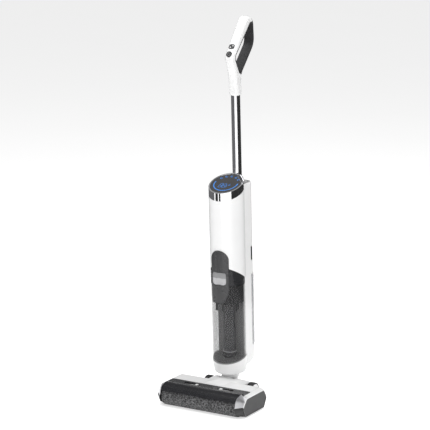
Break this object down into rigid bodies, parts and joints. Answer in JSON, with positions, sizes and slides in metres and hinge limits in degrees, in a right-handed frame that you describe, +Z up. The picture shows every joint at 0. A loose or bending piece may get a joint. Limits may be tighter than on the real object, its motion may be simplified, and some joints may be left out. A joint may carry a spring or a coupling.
{
  "type": "wet dry floor scrubber",
  "caption": "Upright cordless wet dry floor scrubber with a powered roller head, tilting swivel neck, front dirty-water tank, rear clean-water tank, tilted display, pole and loop handle.",
  "frame": {"origin": "on the floor, at the bottom centre of the whole bounding box, parked upright", "axes": "+X to the right of a person behind it, +Y to the rear where the user stands, +Z up"},
  "size_m": [0.28, 0.2996, 1.0901],
  "materials": {
    "white_shell": "semi-gloss moulded",
    "dark_panel": "fine matt texture",
    "chassis_black": "matt moulded",
    "smoke_window": "smoked, polished",
    "smoke_tank": "smoked, clear, polished",
    "clear_tank": "translucent grey, polished",
    "silver_trim": "silver coated",
    "chrome": "polished chrome",
    "display_glass": "black back-printed glass",
    "grip_rubber": "soft-touch over-mould",
    "button_dark": "satin",
    "button_grey": "satin",
    "roller_fabric": "short pile, mottled",
    "black_rubber": "matt",
    "motor_metal": "plain",
    "fastener_steel": "zinc plated",
    "cell_wrap": "shrink wrap",
    "circuit_board": "solder mask",
    "filter_foam": "moulded filter frame",
    "tube_grey": "clear grey"
  },
  "bodies": {
    "head": {"head_base": "chassis_black", "head_cover": "white_shell", "side_cover_left": "white_shell", "side_cover_right": "white_shell", "side_panels": "dark_panel", "corner_trims": "silver_trim", "drive_belt": "black_rubber", "roller_motor": "motor_metal", "spray_bar": "tube_grey", "roller_scraper": "chassis_black", "squeegee": "black_rubber", "suction_duct": "chassis_black", "wheel_axles": "fastener_steel", "base_screws": "fastener_steel"},
    "roller": {"roller_core": "tube_grey", "roller_sleeve": "roller_fabric", "roller_idle_cap": "chassis_black", "roller_drive_cap": "chassis_black", "roller_pulley": "chassis_black"},
    "motor_spindle": {"motor_pulley": "fastener_steel"},
    "window": {"roller_window": "smoke_window"},
    "latch_left": {"window_latch_left": "white_shell"},
    "latch_right": {"window_latch_right": "white_shell"},
    "wheel_left": {"wheel_tyre_left": "black_rubber", "wheel_hub_left": "white_shell"},
    "wheel_right": {"wheel_tyre_right": "black_rubber", "wheel_hub_right": "white_shell"},
    "neck": {"neck_yoke": "white_shell", "neck_hose": "black_rubber", "swivel_clip": "fastener_steel"},
    "body": {"bottom_cup": "white_shell", "body_spine": "white_shell", "body_shell": "white_shell", "latch_catch": "chassis_black", "display_band": "chrome", "display_glass": "display_glass", "display_board": "circuit_board", "suction_motor": "motor_metal", "battery_cells": "cell_wrap", "main_board": "circuit_board", "water_pump": "chassis_black", "charging_contacts": "fastener_steel", "pole": "chrome", "pole_socket": "white_shell", "handle_shell": "white_shell", "handle_grip": "grip_rubber"},
    "fan": {"impeller": "tube_grey"},
    "waste_tank": {"dirty_tank": "smoke_tank", "inlet_tube": "smoke_tank", "tank_lid": "smoke_window", "tank_filter": "filter_foam", "level_probes": "chassis_black", "latch_tongue": "button_dark", "lid_hooks": "chassis_black"},
    "tank_button": {"tank_release_button": "button_grey"},
    "water_tank": {"clean_tank": "clear_tank", "clean_tank_cap": "white_shell"},
    "water_tank_latch": {"clean_tank_latch": "chassis_black"},
    "mode_key": {"mode_button": "button_dark"},
    "power_key": {"power_button": "button_dark"}
  },
  "joints": [
    {"name": "neck_tilt", "type": "hinge", "parent": "head", "child": "neck", "pos_m": [0, 0.04213, 0.0255], "axis": [-1, 0, 0], "range_deg": [0, 57]},
    {"name": "body_swivel", "type": "hinge", "parent": "neck", "child": "body", "pos_m": [0, 0.04213, 0.0255], "axis": [0, -0.0471, 0.9989], "range_deg": [-45, 45]},
    {"name": "roller_spin", "type": "hinge", "parent": "head", "child": "roller", "pos_m": [0, -0.11487, 0.03], "axis": [1, 0, 0], "continuous": true},
    {"name": "motor_spin", "type": "hinge", "parent": "head", "child": "motor_spindle", "pos_m": [0, -0.03687, 0.032], "axis": [1, 0, 0], "continuous": true},
    {"name": "window_lift", "type": "slide", "parent": "head", "child": "window", "axis": [0, 0, 1], "range_m": [0, 0.06]},
    {"name": "latch_left_pinch", "type": "slide", "parent": "window", "child": "latch_left", "axis": [1, 0, 0], "range_m": [0, 0.003], "stiffness_N_per_m": 200, "springref_m": -0.001},
    {"name": "latch_right_pinch", "type": "slide", "parent": "window", "child": "latch_right", "axis": [-1, 0, 0], "range_m": [0, 0.003], "stiffness_N_per_m": 200, "springref_m": -0.001},
    {"name": "wheel_left_spin", "type": "hinge", "parent": "head", "child": "wheel_left", "pos_m": [-0.071, 0.04213, 0.0255], "axis": [1, 0, 0], "continuous": true},
    {"name": "wheel_right_spin", "type": "hinge", "parent": "head", "child": "wheel_right", "pos_m": [0.071, 0.04213, 0.0255], "axis": [1, 0, 0], "continuous": true},
    {"name": "fan_spin", "type": "hinge", "parent": "body", "child": "fan", "pos_m": [0, 0.01952, 0.50497], "axis": [0, -0.0471, 0.9989], "continuous": true},
    {"name": "waste_tank_slide", "type": "slide", "parent": "body", "child": "waste_tank", "axis": [0, -0.9989, -0.0471], "range_m": [0, 0.12]},
    {"name": "tank_button_press", "type": "slide", "parent": "waste_tank", "child": "tank_button", "axis": [0, 0.9989, 0.0471], "range_m": [0, 0.002], "stiffness_N_per_m": 300, "springref_m": -0.001},
    {"name": "water_tank_slide", "type": "slide", "parent": "body", "child": "water_tank", "axis": [0, 0.9989, 0.0471], "range_m": [0, 0.08]},
    {"name": "water_latch_press", "type": "slide", "parent": "body", "child": "water_tank_latch", "axis": [0, -0.9989, -0.0471], "range_m": [0, 0.003], "stiffness_N_per_m": 300, "springref_m": -0.001},
    {"name": "mode_press", "type": "slide", "parent": "body", "child": "mode_key", "axis": [0, 0.7849, -0.6196], "range_m": [0, 0.0012], "stiffness_N_per_m": 300, "springref_m": -0.001},
    {"name": "power_press", "type": "slide", "parent": "body", "child": "power_key", "axis": [0, 0.8635, -0.5043], "range_m": [0, 0.0012], "stiffness_N_per_m": 300, "springref_m": -0.001}
  ],
  "couplings": [
    {"joint": "motor_spin", "follows": "roller_spin", "ratio": 2.1667}
  ]
}
